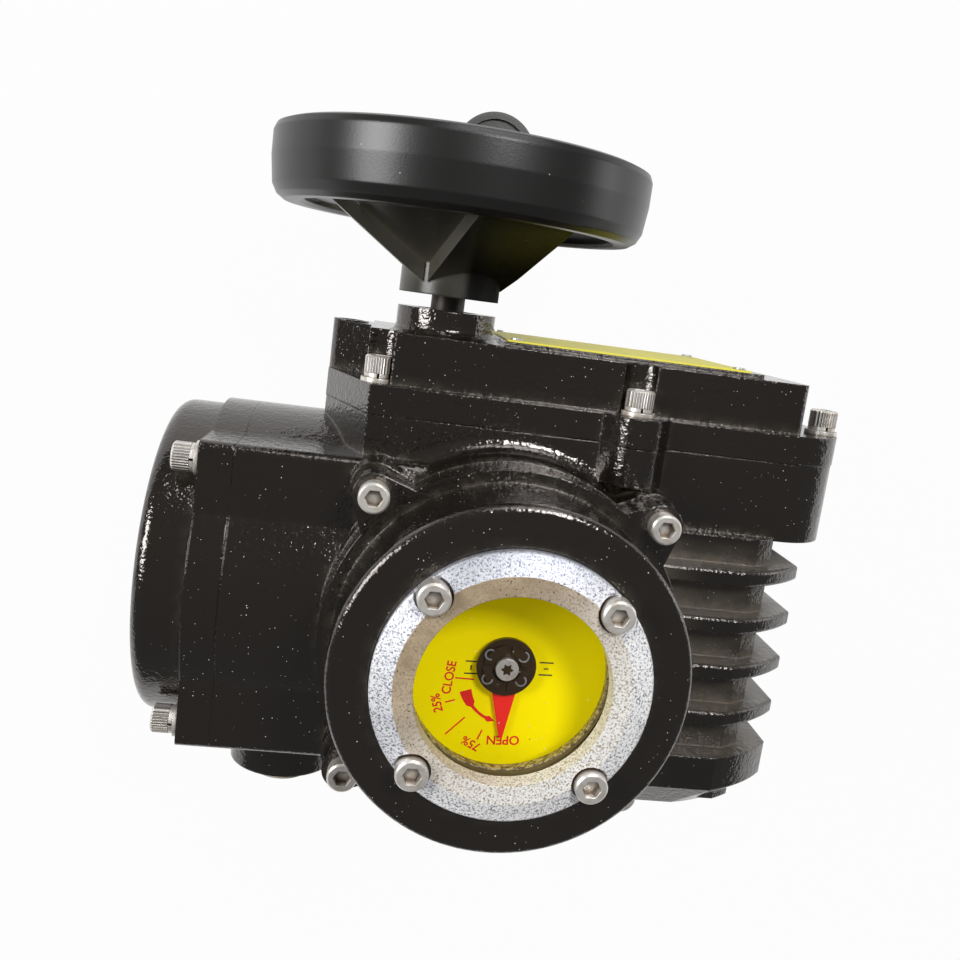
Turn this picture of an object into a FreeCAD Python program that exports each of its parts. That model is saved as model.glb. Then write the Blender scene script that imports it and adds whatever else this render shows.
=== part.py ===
import FreeCAD, Part
import math
import os

# Quarter-turn electric actuator, in millimetres.
# The origin is the middle of the mounting face, on the output axis. The dial looks towards +Z.

# Mounting foot
foot_radius = 46.0
foot_height = 8.0
spigot_radius = 27.5
spigot_depth = 3.0
mount_circle = 70.0
mount_hole_radius = 4.0
mount_hole_depth = 16.0
socket_width = 17.0
socket_depth = 20.0

# Worm and wheel, inside the column
worm_z = 90.0
worm_module = 1.5
worm_pitch_radius = 7.5
worm_turns = 8
wheel_teeth = 28
wheel_width = 14.0
wheel_bore = 13.0
wheel_clearance = 3.65
wheel_pitch = wheel_teeth * worm_module / 2
wheel_room = wheel_pitch + 0.9 * worm_module + wheel_clearance
worm_x = -(wheel_pitch + worm_pitch_radius)
worm_bearing_place = 31.0
bearing_width = 7.8

# Turret and dial cover
column_radius = 60.5
floor_above_worm = 26.0
dial_floor = worm_z + floor_above_worm
turret_depth = 13.0
seam_height = dial_floor + turret_depth
turret_wall = 8.5
lobe_place = column_radius - 13.69
lobe_radius = 7.0
housing_lobe_radius = 8.2
lobe_root_place = column_radius - 10.5
lobe_root_radius = 14.0
lobe_depth = 29.0
root_round = 5.5
cover_flange_step = 0.5
cover_flange_radius = column_radius - cover_flange_step
cover_flange_thick = 12.3
cover_flange_top = seam_height + cover_flange_thick
cover_radius = column_radius - 5.0
cover_height = 43.0
cover_top = seam_height + cover_height
cover_front_wall = 11.0
cover_edge_round = 2.5

# Window
ring_radius = 42.4
ring_flat_radius = 35.5
ring_open_radius = 29.57
ring_sink = 1.5
ring_bottom = cover_top - ring_sink
ring_edge_thick = 4.2
ring_thick = 6.7
ring_top = ring_bottom + ring_thick
ring_screw_place = 26.91
ring_head_sink = 3.2
ring_screw_seat = ring_top - ring_head_sink
glass_radius = 33.5
glass_thick = 4.4
gasket_thick = 1.6

# Dial
dial_radius = 40.0
dial_drop = 20.0
dial_height = cover_top - dial_drop
dial_thick = 1.5
pointer_length = 24.5
pointer_angle = 3.5
hub_disc_radius = 9.4
post_circle = 36.0
post_radius = 3.0

# Electrical compartment, a barrel along X
barrel_radius = 61.5
barrel_sink = 0.5
barrel_height = seam_height - barrel_radius - barrel_sink
barrel_seam = -93.5
barrel_end = -46.0
barrel_wall = 9.5
barrel_bore = barrel_radius - barrel_wall
cap_flange = 11.5
cap_step = 2.3
cap_radius = barrel_radius - cap_step
cap_length = 29.1
cap_end = barrel_seam - cap_length
cap_wall = 4.5
cap_screw_room = 6.9852
cap_screw_place = (cap_radius + cap_screw_room) / math.sqrt(2)
barrel_square = cap_screw_place + 7.2
entry_x = -71.0
entry_rise = 6.0
entry_z = barrel_height + entry_rise
entry_radius = 20.5
entry_length = 15.5
entry_bottom = -barrel_radius - entry_length
plug_radius = 10.2
plug_head = 6.0

# Spur train
gear_module = 1.0
worm_gear_teeth = 34
b_small_teeth = 22
b_large_teeth = 40
a_small_teeth = 22
a_large_teeth = 52
pinion_teeth = 18
b_angle = -22.0
gear_width = 6.5
gear_step = 1.5

# Gear box, whose middle is level with the motor
motor_drop = 23.0
motor_z = worm_z - motor_drop
box_wall = 4.6
box_half = motor_drop + worm_gear_teeth * gear_module / 2 + box_wall + 1.4
box_front = motor_z + box_half
box_back = motor_z - box_half
box_left = -68.6
box_shoulder = -52.3
box_nose = 5.0
box_right = 122.0
box_corner = 22.0
box_bottom = 39.5
box_floor_thick = 4.5
box_floor = box_bottom + box_floor_thick
box_depth = 24.2
box_seam = box_floor + box_depth
middle_screw_x = 40.6
middle_lobe_radius = 10.0
lug_x = box_left + 6.1
lug_radius = 6.5
layer_one = box_floor + 2.0
layer_two = layer_one + gear_width + gear_step + 0.5
layer_three = layer_two + gear_width + gear_step
gear_flange_thick = 10.3
gear_flange_top = box_seam + gear_flange_thick
cover_rise = 18.0
gear_cover_top = gear_flange_top + cover_rise
gear_cover_left = box_shoulder - 2.2
gear_cover_right = box_right - 19.0
gear_cover_front = box_front - 3.0
gear_cover_back = box_back + 3.0
cover_wall = 4.5
scallop_radius = 6.5
pad_thick = 1.5
plate_pad_top = gear_cover_top + pad_thick
plate_left = -6.8
plate_right = 82.0
plate_half = 36.0
plate_z = motor_z + 0.5
boss_radius = 17.5
boss_height = 9.0
boss_top = gear_cover_top + boss_height

# Motor, below the gear box
motor_x = 62.0
motor_radius = 31.0
stator_length = 48.0
coil_height = 8.0
coil_room = 12.0
shield_thick = 11.0
end_shield_thick = 12.0
ring_room = 7.0
motor_length = ring_room + shield_thick + 2 * coil_room + stator_length + end_shield_thick
motor_bottom = box_floor - motor_length
stator_bottom = motor_bottom + end_shield_thick + coil_room
stator_top = stator_bottom + stator_length
shield_bottom = stator_top + coil_room
motor_half = 50.8
motor_side = 97.8
motor_corner = 58.3
pan_wall = 4.0
pan_bottom = motor_bottom - pan_wall
pan_taper = 10.0
pan_side_inset = 8.0
pan_end_inset = 14.0
fin_pitch = 17.5
fin_drop = 9.0
fin_top = box_bottom - fin_drop
fin_thick = 5.5
fin_round = 1.2
fin_half = 60.0
fin_right = 110.6
fin_corner = 64.5
fin_start = 20.0

# Handwheel
wheel_gap = 4.8
hub_bottom = boss_top + wheel_gap
hub_radius = 17.7
hub_length = 16.7
hub_top = hub_bottom + hub_length
rim_radius = 65.3
rim_rise = 25.1
rim_height = 24.2
rim_bottom = hub_bottom + rim_rise
rim_top = rim_bottom + rim_height
dish_radius = 38.0
dish_thick = 3.5
spoke_angles = (61.0, 181.0, 301.0)
grip_x = worm_x + 9.5
grip_y = rim_top + 0.9
pivot_z = worm_z - rim_radius + 15.3
grip_end = pivot_z + 55.0
grip_radius = 14.0

# Fits
run_gap = 0.05
seat_gap = 0.02
free_gap = 0.3
screw_radius = 3.0
head_radius = 5.0
head_height = 6.0
screw_grip = 10.0
shaft_radius = 6.0

os.makedirs("parts", exist_ok=True)
V = FreeCAD.Vector
X = V(1, 0, 0)
Y = V(0, 1, 0)
Z = V(0, 0, 1)


def save(name, *shapes):
    """Write one node; several solids go in as one compound."""
    solids = []
    for shape in shapes:
        solids.extend(shape.Solids)
    out = solids[0] if len(solids) == 1 else Part.makeCompound(solids)
    out.exportStep("parts/" + name + ".step")


def block(x1, x2, y1, y2, z1, z2):
    return Part.makeBox(x2 - x1, y2 - y1, z2 - z1, V(x1, y1, z1))


def rod_z(radius, z1, z2, x=0.0, y=0.0):
    return Part.makeCylinder(radius, z2 - z1, V(x, y, z1), Z)


def rod_y(radius, y1, y2, x, z):
    return Part.makeCylinder(radius, y2 - y1, V(x, y1, z), Y)


def rod_x(radius, x1, x2, y, z):
    return Part.makeCylinder(radius, x2 - x1, V(x1, y, z), X)


def tube_z(outer, inner, z1, z2, x=0.0, y=0.0):
    return rod_z(outer, z1, z2, x, y).cut(rod_z(inner, z1 - 1, z2 + 1, x, y))


def tube_y(outer, inner, y1, y2, x, z):
    return rod_y(outer, y1, y2, x, z).cut(rod_y(inner, y1 - 1, y2 + 1, x, z))


def prism_z(points, z1, z2):
    """Prism over a closed outline in x and y."""
    wire = Part.makePolygon([V(x, y, z1) for x, y in points + points[:1]])
    return Part.Face(wire).extrude(V(0, 0, z2 - z1))


def prism_y(points, y1, y2):
    """Prism over a closed outline in x and z."""
    wire = Part.makePolygon([V(x, y1, z) for x, z in points + points[:1]])
    return Part.Face(wire).extrude(V(0, y2 - y1, 0))


def spin(points, base, axis, side):
    """Solid turned from (radius, height) points about an axis."""
    line = [base + side * r + axis * h for r, h in points]
    wire = Part.makePolygon(line + line[:1])
    return Part.Face(wire).revolve(base, axis, 360)


def corners(place):
    return [(place, place), (-place, place), (-place, -place), (place, -place)]


def flanks(x1, y1, radius1, x2, y2, radius2):
    """The four points where two straight lines touch both of two circles."""
    reach = math.hypot(x2 - x1, y2 - y1)
    out_x = (x2 - x1) / reach
    out_y = (y2 - y1) / reach
    lean = math.acos((radius1 - radius2) / reach)
    points = []
    for x, y, radius, sign in ((x1, y1, radius1, 1), (x2, y2, radius2, 1), (x2, y2, radius2, -1),
                               (x1, y1, radius1, -1)):
        along = radius * math.cos(lean)
        aside = radius * math.sin(lean) * sign
        points.append((x + out_x * along - out_y * aside, y + out_y * along + out_x * aside))
    return points


def corner_lobe(x, y, radius, z1, z2):
    """Screw lobe of the round turret, with straight flanks into the wall."""
    share = lobe_root_place / math.hypot(x, y)
    points = flanks(x * share, y * share, lobe_root_radius, x, y, radius)
    return rod_z(radius, z1, z2, x, y).fuse(prism_z(points, z1, z2))


def side_lobe(z, radius, y1, y2):
    """Screw lobe in the middle of a long side of the gear box."""
    inward = 12.0 if z < motor_z else -12.0
    points = flanks(middle_screw_x, z + inward, radius + 7, middle_screw_x, z, radius)
    return rod_y(radius, y1, y2, middle_screw_x, z).fuse(prism_y(points, y1, y2))


def edges_at(shape, test):
    """Edges whose ends and middle all pass a test."""
    found = []
    for edge in shape.Edges:
        points = [edge.valueAt(edge.FirstParameter), edge.valueAt(edge.LastParameter)]
        points.append(edge.valueAt((edge.FirstParameter + edge.LastParameter) / 2))
        if all(test(p) for p in points):
            found.append(edge)
    return found


def rounded(shape, radius, test):
    return shape.makeFillet(radius, edges_at(shape, test))


def near(value, *places):
    return any(abs(value - place) < 0.01 for place in places)


def socket_screw(seat, axis, length):
    """Socket-head screw whose head stands on the seat and whose shank runs against the axis."""
    head = Part.makeCylinder(head_radius, head_height, seat, axis)
    turn = FreeCAD.Rotation(Z, axis)
    hexagon = [turn.multVec(V(2.9 * math.cos(math.radians(60 * k)), 2.9 * math.sin(math.radians(60 * k)), 0))
               for k in range(6)]
    top = seat + axis * (head_height - 3.0)
    wire = Part.makePolygon([top + p for p in hexagon + hexagon[:1]])
    head = head.cut(Part.Face(wire).extrude(axis * 4.0))
    head = head.makeChamfer(0.6, [e for e in head.Edges if isinstance(e.Curve, Part.Circle)
                                  and (e.Curve.Center - seat - axis * head_height).Length < 0.01])
    shank = Part.makeCylinder(screw_radius, length, seat - axis * length, axis)
    return head.fuse(shank).removeSplitter()


def washer(seat, axis, outer, thick):
    ring = Part.makeCylinder(outer, thick, seat, axis)
    return ring.cut(Part.makeCylinder(screw_radius + 0.15, thick + 2, seat - axis, axis))


def shank_hole(point, axis, length):
    """Tapped hole that runs down from a point."""
    return Part.makeCylinder(screw_radius + seat_gap, length, point - axis * length, axis)


def gear(x, z, teeth, y1, y2, bore, turn):
    """Spur gear about an axis along Y, first tooth at the turn angle in degrees."""
    pitch = teeth * gear_module / 2
    rows = ((pitch - 1.2 * gear_module, 0.33), (pitch, 0.235), (pitch + 0.9 * gear_module, 0.11))
    outline = []
    for k in range(teeth):
        middle = math.radians(turn) + 2 * math.pi * k / teeth
        for radius, share in rows:
            angle = middle - share * 2 * math.pi / teeth
            outline.append((x + radius * math.cos(angle), z + radius * math.sin(angle)))
        for radius, share in reversed(rows):
            angle = middle + share * 2 * math.pi / teeth
            outline.append((x + radius * math.cos(angle), z + radius * math.sin(angle)))
    body = prism_y(outline, y1, y2)
    return body.cut(rod_y(bore, y1 - 1, y2 + 1, x, z)) if bore else body


def meshed(x1, z1, teeth1, turn1, x2, z2, teeth2):
    """Turn angle of a second gear so that its gap faces a tooth of the first."""
    line = math.degrees(math.atan2(z2 - z1, x2 - x1))
    step1 = 360.0 / teeth1
    step2 = 360.0 / teeth2
    past = (line - turn1) / step1
    return line + 180.0 + (past + 0.5) * step2



# Places of the train, from the centre distances
b_reach = (worm_gear_teeth + b_small_teeth) * gear_module / 2
b_x = worm_x + b_reach * math.cos(math.radians(b_angle))
b_z = worm_z + b_reach * math.sin(math.radians(b_angle))
ab_reach = (b_large_teeth + a_small_teeth) * gear_module / 2
am_reach = (a_large_teeth + pinion_teeth) * gear_module / 2
bm_reach = math.hypot(motor_x - b_x, motor_z - b_z)
along = (bm_reach ** 2 + ab_reach ** 2 - am_reach ** 2) / (2 * bm_reach)
across = math.sqrt(max(ab_reach ** 2 - along ** 2, 0.0))
line_x = (motor_x - b_x) / bm_reach
line_z = (motor_z - b_z) / bm_reach
a_x = b_x + along * line_x - across * line_z
a_z = b_z + along * line_z + across * line_x

gear_screws = []
for side in (1, -1):
    gear_screws.append((box_shoulder + 2.3, motor_z + side * (box_half - 8.0)))
    gear_screws.append((middle_screw_x, motor_z + side * (box_half - 0.5)))
    gear_screws.append((box_right - 6.5, motor_z + side * (box_half - 17.0)))


def box_prism(grow, y1, y2):
    """Gear box outline with a pointed left end and round right corners, moved outwards by a distance."""
    shoulder = box_shoulder - grow * 0.6
    points = [(shoulder, box_front + grow), (box_left - grow, motor_z + box_nose),
              (box_left - grow, motor_z - box_nose),
              (shoulder, box_back - grow), (box_right + grow, box_back - grow),
              (box_right + grow, box_front + grow)]
    shape = prism_y(points, y1, y2)
    return rounded(shape, box_corner + grow, lambda p: near(p.x, box_right + grow)
                   and near(p.z, box_back - grow, box_front + grow))


def barrel_section(x1, x2):
    """Round barrel with four squared corners."""
    low = barrel_height - barrel_square
    high = barrel_height + barrel_square
    square = block(x1, x2, -barrel_square, barrel_square, low, high)
    square = rounded(square, 3.0, lambda p: near(abs(p.y), barrel_square) and near(p.z, low, high))
    return rod_x(barrel_radius, x1, x2, 0, barrel_height).fuse(square)


def fin_wire(y, side_inset, end_inset):
    """Outline of a cooling fin: flat sides, a flat end and round corners about the motor axis."""
    half = fin_half - side_inset
    end = fin_right - end_inset
    radius = fin_corner - (side_inset + end_inset) / 2
    flat_x = motor_x + math.sqrt(radius ** 2 - half ** 2)
    flat_z = math.sqrt(radius ** 2 - (end - motor_x) ** 2)
    angle = (math.atan2(half, flat_x - motor_x) + math.atan2(flat_z, end - motor_x)) / 2
    bend_x = motor_x + radius * math.cos(angle)
    bend_z = radius * math.sin(angle)
    low = [V(fin_start, y, motor_z - half), V(flat_x, y, motor_z - half), V(bend_x, y, motor_z - bend_z),
           V(end, y, motor_z - flat_z)]
    high = [V(p.x, y, 2 * motor_z - p.z) for p in low]
    edges = [Part.makeLine(low[0], low[1]), Part.Arc(low[1], low[2], low[3]).toShape(),
             Part.makeLine(low[3], high[3]),
             Part.Arc(high[3], high[2], high[1]).toShape(), Part.makeLine(high[1], high[0]),
             Part.makeLine(high[0], low[0])]
    return Part.Wire(edges)


def fin(y1, y2):
    plate = Part.Face(fin_wire(y1, 0, 0)).extrude(V(0, y2 - y1, 0))
    return plate.makeFillet(fin_round, plate.Edges)


# Main housing
housing = rod_z(foot_radius, 0, foot_height + 1).fuse(rod_z(column_radius, foot_height, seam_height))
for x, y in corners(lobe_place):
    housing = housing.fuse(corner_lobe(x, y, housing_lobe_radius, seam_height - lobe_depth, seam_height))
housing = housing.fuse(barrel_section(barrel_seam, worm_x - 1.5))
housing = housing.fuse(box_prism(0, box_bottom, box_seam))
for z in (box_back + 0.5, box_front - 0.5):
    housing = housing.fuse(side_lobe(z, middle_lobe_radius, box_bottom + 15, box_seam))
housing = housing.fuse(rod_y(lug_radius, box_bottom + 10, box_seam, lug_x, motor_z))
root_out = column_radius + root_round
root_low = V(column_radius, 0, box_front + root_round)
root_high = V(root_out, 0, box_front)
root_bend = V(root_out - root_round * math.cos(math.radians(45)), 0,
              root_low.z - root_round * math.sin(math.radians(45)))
root_edges = [Part.Arc(root_low, root_bend, root_high).toShape(),
              Part.makeLine(root_high, V(root_out, 0, box_front - 2)),
              Part.makeLine(V(root_out, 0, box_front - 2), V(column_radius - 2, 0, box_front - 2)),
              Part.makeLine(V(column_radius - 2, 0, box_front - 2), V(column_radius - 2, 0, root_low.z)),
              Part.makeLine(V(column_radius - 2, 0, root_low.z), root_low)]
root = Part.Face(Part.Wire(root_edges)).revolve(V(0, 0, 0), Z, 360)
housing = housing.fuse(root.common(block(-70, 70, box_bottom, 80, box_front - 5, seam_height)))

motor_low = motor_z - motor_half
motor_high = motor_z + motor_half
motor_body = block(fin_start, motor_side, pan_bottom + 2, box_bottom + 1, motor_low, motor_high)
motor_body = motor_body.common(rod_y(motor_corner, pan_bottom, box_bottom + 2, motor_x, motor_z))
for k in range(4):
    top = fin_top - fin_pitch * k
    motor_body = motor_body.fuse(fin(top - fin_thick, top))
pan_edge = pan_bottom + pan_taper
lowest_fin = fin_top - fin_pitch * 4
motor_body = motor_body.fuse(Part.Face(fin_wire(pan_edge, 0, 0)).extrude(V(0, lowest_fin - pan_edge, 0)))
pan = Part.makeLoft([fin_wire(pan_edge, 0, 0), fin_wire(pan_bottom, pan_side_inset, pan_end_inset)], True,
                    True)
housing = housing.fuse(motor_body.fuse(pan))
housing = housing.fuse(rod_y(entry_radius, entry_bottom, 10 - barrel_radius, entry_x, entry_z))

# Rooms inside the housing
room = []
room.append(rod_z(spigot_radius, -1, spigot_depth))
room.append(rod_z(wheel_room, -1, worm_z + wheel_width / 2 + 5))
room.append(rod_z(12.0 + seat_gap, worm_z, dial_floor + 1))
room.append(rod_z(column_radius - turret_wall, dial_floor, seam_height + 1))
room.append(rod_x(barrel_bore, barrel_seam - 1, barrel_end, 0, barrel_height))
room.append(box_prism(-box_wall, box_floor, box_seam + 1))
room.append(rod_y(14.0 + seat_gap, -worm_bearing_place - bearing_width - 0.2, box_floor + 1, worm_x, worm_z))
room.append(rod_y(9.0, -worm_bearing_place - bearing_width - 6, 0, worm_x, worm_z))
room.append(rod_y(motor_radius + seat_gap, motor_bottom, box_floor + 1, motor_x, motor_z))
room.append(rod_y(plug_radius, entry_bottom - 1, 7 - barrel_bore, entry_x, entry_z))
for x, z in ((b_x, b_z), (a_x, a_z)):
    room.append(rod_y(3.0 + seat_gap, box_floor - 8, box_floor + 1, x, z))
for k in range(4):
    angle = math.radians(45 + 90 * k)
    room.append(rod_z(mount_hole_radius, -1, mount_hole_depth, mount_circle / 2 * math.cos(angle),
                      mount_circle / 2 * math.sin(angle)))
for x, y in corners(lobe_place):
    room.append(shank_hole(V(x, y, seam_height + 1), Z, screw_grip + 5))
post_spots = []
for k in range(3):
    angle = math.radians(90 + 120 * k)
    post_spots.append((post_circle * math.cos(angle), post_circle * math.sin(angle)))
for x, y in post_spots:
    room.append(rod_z(post_radius + seat_gap, dial_floor - 5.1, dial_floor + 1, x, y))
for y, z in corners(cap_screw_place):
    room.append(shank_hole(V(barrel_seam - 1, y, z + barrel_height), -X, screw_grip + 7))
for x, z in gear_screws:
    room.append(shank_hole(V(x, box_seam + 1, z), Y, screw_grip + 3))
room.append(block(-52, -40, -12, 12, dial_floor - 6, dial_floor + 1))
for side in (1, -1):
    inner_side = motor_z + side * (motor_radius + 5.5)
    outer_side = motor_z + side * (motor_half - 5.8)
    room.append(block(38, 92, -50, box_floor + 1, min(inner_side, outer_side), max(inner_side, outer_side)))
for tool in room:
    housing = housing.cut(tool)
save("main_housing", housing)

# Dial cover
cover = rod_z(cover_flange_radius, seam_height, cover_flange_top)
for x, y in corners(lobe_place):
    cover = cover.fuse(corner_lobe(x, y, lobe_radius, seam_height, cover_flange_top))
dome = rounded(rod_z(cover_radius, seam_height, cover_top), cover_edge_round, lambda p: near(p.z, cover_top))
cover = cover.fuse(dome)
cover = cover.cut(rod_z(column_radius - turret_wall - 2, seam_height - 1, cover_top - cover_front_wall))
cover = cover.cut(rod_z(ring_radius + free_gap, ring_bottom, cover_top + 1))
glass_bottom = ring_bottom - glass_thick - free_gap
pocket_bottom = glass_bottom - gasket_thick
cover = cover.cut(rod_z(glass_radius + free_gap, pocket_bottom, cover_top))
cover = cover.cut(rod_z(ring_open_radius + 1, cover_top - cover_front_wall - 1, cover_top))
for x, y in corners(lobe_place):
    cover = cover.cut(rod_z(screw_radius + 0.2, seam_height - 1, cover_top, x, y))
for x, y in corners(ring_screw_place):
    cover = cover.cut(shank_hole(V(x, y, ring_bottom + 1), Z, screw_grip))
seal_place = (cover_flange_radius + column_radius - turret_wall) / 2
cover = cover.cut(tube_z(seal_place + 1.2, seal_place - 1.2, seam_height - 1, seam_height + 1.6))
save("dial_cover", cover)
save("dial_cover_seal", Part.makeTorus(seal_place, 0.78, V(0, 0, seam_height + 0.8)))
save("dial_cover_screws", *[socket_screw(V(x, y, cover_flange_top), Z, cover_flange_thick + screw_grip)
                            for x, y in corners(lobe_place)])

# Window
ring = spin([(ring_open_radius, ring_bottom), (ring_radius, ring_bottom),
             (ring_radius, ring_bottom + ring_edge_thick - 0.5),
             (ring_radius - 0.5, ring_bottom + ring_edge_thick), (ring_flat_radius, ring_top),
             (ring_open_radius, ring_top)],
            V(0, 0, 0), Z, X)
for x, y in corners(ring_screw_place):
    ring = ring.cut(rod_z(head_radius + 0.75, ring_screw_seat, ring_top + 1, x, y))
    ring = ring.cut(rod_z(screw_radius + 0.2, ring_bottom - 1, ring_top, x, y))
save("window_ring", ring)
save("ring_screws", *[socket_screw(V(x, y, ring_screw_seat), Z,
                                   ring_screw_seat - ring_bottom + screw_grip - 3)
                      for x, y in corners(ring_screw_place)])
save("window_glass", rod_z(glass_radius, glass_bottom, glass_bottom + glass_thick))
save("window_gasket", tube_z(glass_radius, ring_open_radius + 1.5, pocket_bottom, glass_bottom))

# Output shaft, with the drive socket below and the pointer spindle above
pointer_bottom = dial_height + dial_thick + 1.0
pointer_top = pointer_bottom + 1.0
hub_disc_top = pointer_top + 1.5
wheel_low = worm_z - wheel_width / 2
wheel_high = worm_z + wheel_width / 2
shaft = rod_z(19.0, spigot_depth + 0.5, worm_z - 16)
for radius, low, high in ((15.0, worm_z - 17, wheel_low), (wheel_bore, worm_z - 10, wheel_high + 1),
                          (10.0, worm_z, dial_floor + 2), (6.0, dial_floor, dial_height - 6),
                          (3.0, dial_height - 8, pointer_top - 0.5)):
    shaft = shaft.fuse(rod_z(radius, low, high))
half = socket_width / 2
shaft = shaft.cut(block(-half, half, -half, half, 0, spigot_depth + socket_depth))
shaft = shaft.cut(rod_z(6.5, 0, spigot_depth + socket_depth + 4))
shaft = shaft.cut(block(wheel_bore - 3.5, wheel_bore + 1, -2, 2, wheel_low + 1, wheel_high + 2))
save("output_shaft", shaft)
save("wheel_key", block(wheel_bore - 3.4, wheel_bore + 1.6, -2 + seat_gap, 2 - seat_gap, wheel_low + 1.1,
                        wheel_high - 0.5))

bush_bottom = spigot_depth + 11
carrier = tube_z(wheel_room - seat_gap, 22.0, spigot_depth + 3, worm_z - 20)
carrier = carrier.cut(rod_z(23.5, spigot_depth + 2, spigot_depth + 9))
save("shaft_carrier", carrier)
save("output_bushes", tube_z(22.0 - seat_gap, 19.0 + run_gap, bush_bottom, worm_z - 22),
     tube_z(12.0, 10.0 + run_gap, dial_floor - 13, dial_floor - 1))
save("output_seal", tube_z(23.5 - seat_gap, 19.0 + run_gap, spigot_depth + 3.5, spigot_depth + 8.5))
carrier_ring = tube_z(wheel_room - seat_gap, 23.9, spigot_depth + 1.2, spigot_depth + 2.8)

# Worm wheel, its teeth slanted to fit the worm
lead_angle = math.atan(worm_module / (2 * worm_pitch_radius))


def wheel_outline(height):
    """One slice of the wheel; the slices turn with the slant of the teeth."""
    shift = math.degrees(height * math.tan(lead_angle) / wheel_pitch)
    rows = ((wheel_pitch - 1.17 * worm_module, 0.31), (wheel_pitch, 0.222),
            (wheel_pitch + 0.9 * worm_module, 0.11))
    points = []
    for k in range(wheel_teeth):
        middle = math.radians(180 + shift + 360.0 * (k + 0.5) / wheel_teeth)
        for radius, share in rows + tuple(reversed(rows)):
            sign = -1 if len(points) % 6 < 3 else 1
            angle = middle + sign * share * 2 * math.pi / wheel_teeth
            points.append(V(radius * math.cos(angle), radius * math.sin(angle), worm_z + height))
    return Part.makePolygon(points + points[:1])


wheel = Part.makeLoft([wheel_outline(-wheel_width / 2), wheel_outline(wheel_width / 2)], True, True)
wheel = wheel.cut(rod_z(wheel_bore + seat_gap, wheel_low - 1, wheel_high + 1))
wheel = wheel.cut(block(0, wheel_bore + 1.8, -2, 2, wheel_low - 1, wheel_high + 1))
save("worm_wheel", wheel)

# Worm shaft with its thread
core = worm_pitch_radius - 1.2 * worm_module
thread_pitch = math.pi * worm_module
worm_half_length = worm_turns * thread_pitch / 2
half_core = worm_module * 0.98
half_tip = worm_module * 0.36
crest = worm_pitch_radius + worm_module - 0.1
helix = Part.makeHelix(thread_pitch, 2 * worm_half_length, core)
section = Part.makePolygon([V(core - 0.4, 0, -half_core), V(crest, 0, -half_tip), V(crest, 0, half_tip),
                            V(core - 0.4, 0, half_core), V(core - 0.4, 0, -half_core)])
thread = Part.Wire(helix).makePipeShell([section], True, True)
thread.Placement = FreeCAD.Placement(V(worm_x, -worm_half_length, worm_z), FreeCAD.Rotation(X, -90))
worm = rod_y(core, -worm_bearing_place, worm_bearing_place, worm_x, worm_z).fuse(thread)
shoulder = worm_bearing_place - 0.5
for radius, y1, y2 in ((shaft_radius, -worm_bearing_place - bearing_width - 0.5, -26), (8.0, -shoulder, -24),
                       (8.0, 24, shoulder), (shaft_radius, 26, hub_bottom + 9.5)):
    worm = worm.fuse(rod_y(radius, y1, y2, worm_x, worm_z))
worm = worm.cut(rod_y(2.1, hub_bottom - 2, hub_bottom + 12, worm_x, worm_z))
save("worm_shaft", worm)


def bearing(outer, inner, y1, y2, x, z):
    """Closed ball bearing with its two rings stepped back from the shields."""
    ring = tube_y(outer - seat_gap, inner + seat_gap, y1, y2, x, z)
    middle = (outer + inner) / 2
    for y in (y1 - 1, y2 - 0.4):
        ring = ring.cut(tube_y(middle + 2.2, middle - 2.2, y, y + 1.4, x, z))
    return ring


bearing_end = worm_bearing_place + bearing_width
save("worm_bearings", bearing(14.0, shaft_radius, -bearing_end, -worm_bearing_place, worm_x, worm_z),
     bearing(14.0, shaft_radius, worm_bearing_place, bearing_end, worm_x, worm_z))
worm_ring = tube_y(14.0, 10.0, bearing_end + 0.4, bearing_end + 2.2, worm_x, worm_z)

# Spur train
worm_turn = 0.0
b_small_turn = meshed(worm_x, worm_z, worm_gear_teeth, worm_turn, b_x, b_z, b_small_teeth)
b_large_turn = 7.0
a_small_turn = meshed(b_x, b_z, b_large_teeth, b_large_turn, a_x, a_z, a_small_teeth)
a_large_turn = 3.0
pinion_turn = meshed(a_x, a_z, a_large_teeth, a_large_turn, motor_x, motor_z, pinion_teeth)
top_one = layer_one + gear_width
top_two = layer_two + gear_width
top_three = layer_three + gear_width
worm_gear = gear(worm_x, worm_z, worm_gear_teeth, layer_three, top_three, 0, worm_turn)
worm_gear = worm_gear.fuse(rod_y(10.0, layer_three, top_three + 6, worm_x, worm_z))
worm_gear = worm_gear.cut(rod_y(shaft_radius + seat_gap, layer_three - 1, top_three + 7, worm_x, worm_z))
save("worm_gear", worm_gear)
gear_b = gear(b_x, b_z, b_large_teeth, layer_two, top_two, 0, b_large_turn)
gear_b = gear_b.fuse(gear(b_x, b_z, b_small_teeth, top_two, top_three, 0, b_small_turn))
b_hub = ab_reach - a_large_teeth * gear_module / 2 - gear_module - free_gap
gear_b = gear_b.fuse(rod_y(b_hub, box_floor + 0.5, layer_two + 1, b_x, b_z))
gear_b = gear_b.cut(rod_y(3.0 + run_gap, box_floor, top_three + 1, b_x, b_z))
save("gear_b", gear_b)
gear_a = gear(a_x, a_z, a_large_teeth, layer_one, top_one, 0, a_large_turn)
gear_a = gear_a.fuse(gear(a_x, a_z, a_small_teeth, top_one, top_two, 0, a_small_turn))
gear_a = gear_a.fuse(rod_y(6.0, box_floor + 0.5, layer_one + 1, a_x, a_z))
gear_a = gear_a.cut(rod_y(3.0 + run_gap, box_floor, top_two + 1, a_x, a_z))
save("gear_a", gear_a)
pins = []
for x, z, top in ((b_x, b_z, top_three), (a_x, a_z, top_two)):
    clip = tube_y(5.5, 3.0, top + 0.5, top + 1.5, x, z)
    pins.append(rod_y(3.0, box_floor - 7.5, top + 2.5, x, z).fuse(clip))
save("gear_pins", *pins)
pinion = gear(motor_x, motor_z, pinion_teeth, layer_one - 1, top_one + 1, 0, pinion_turn)
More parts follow.
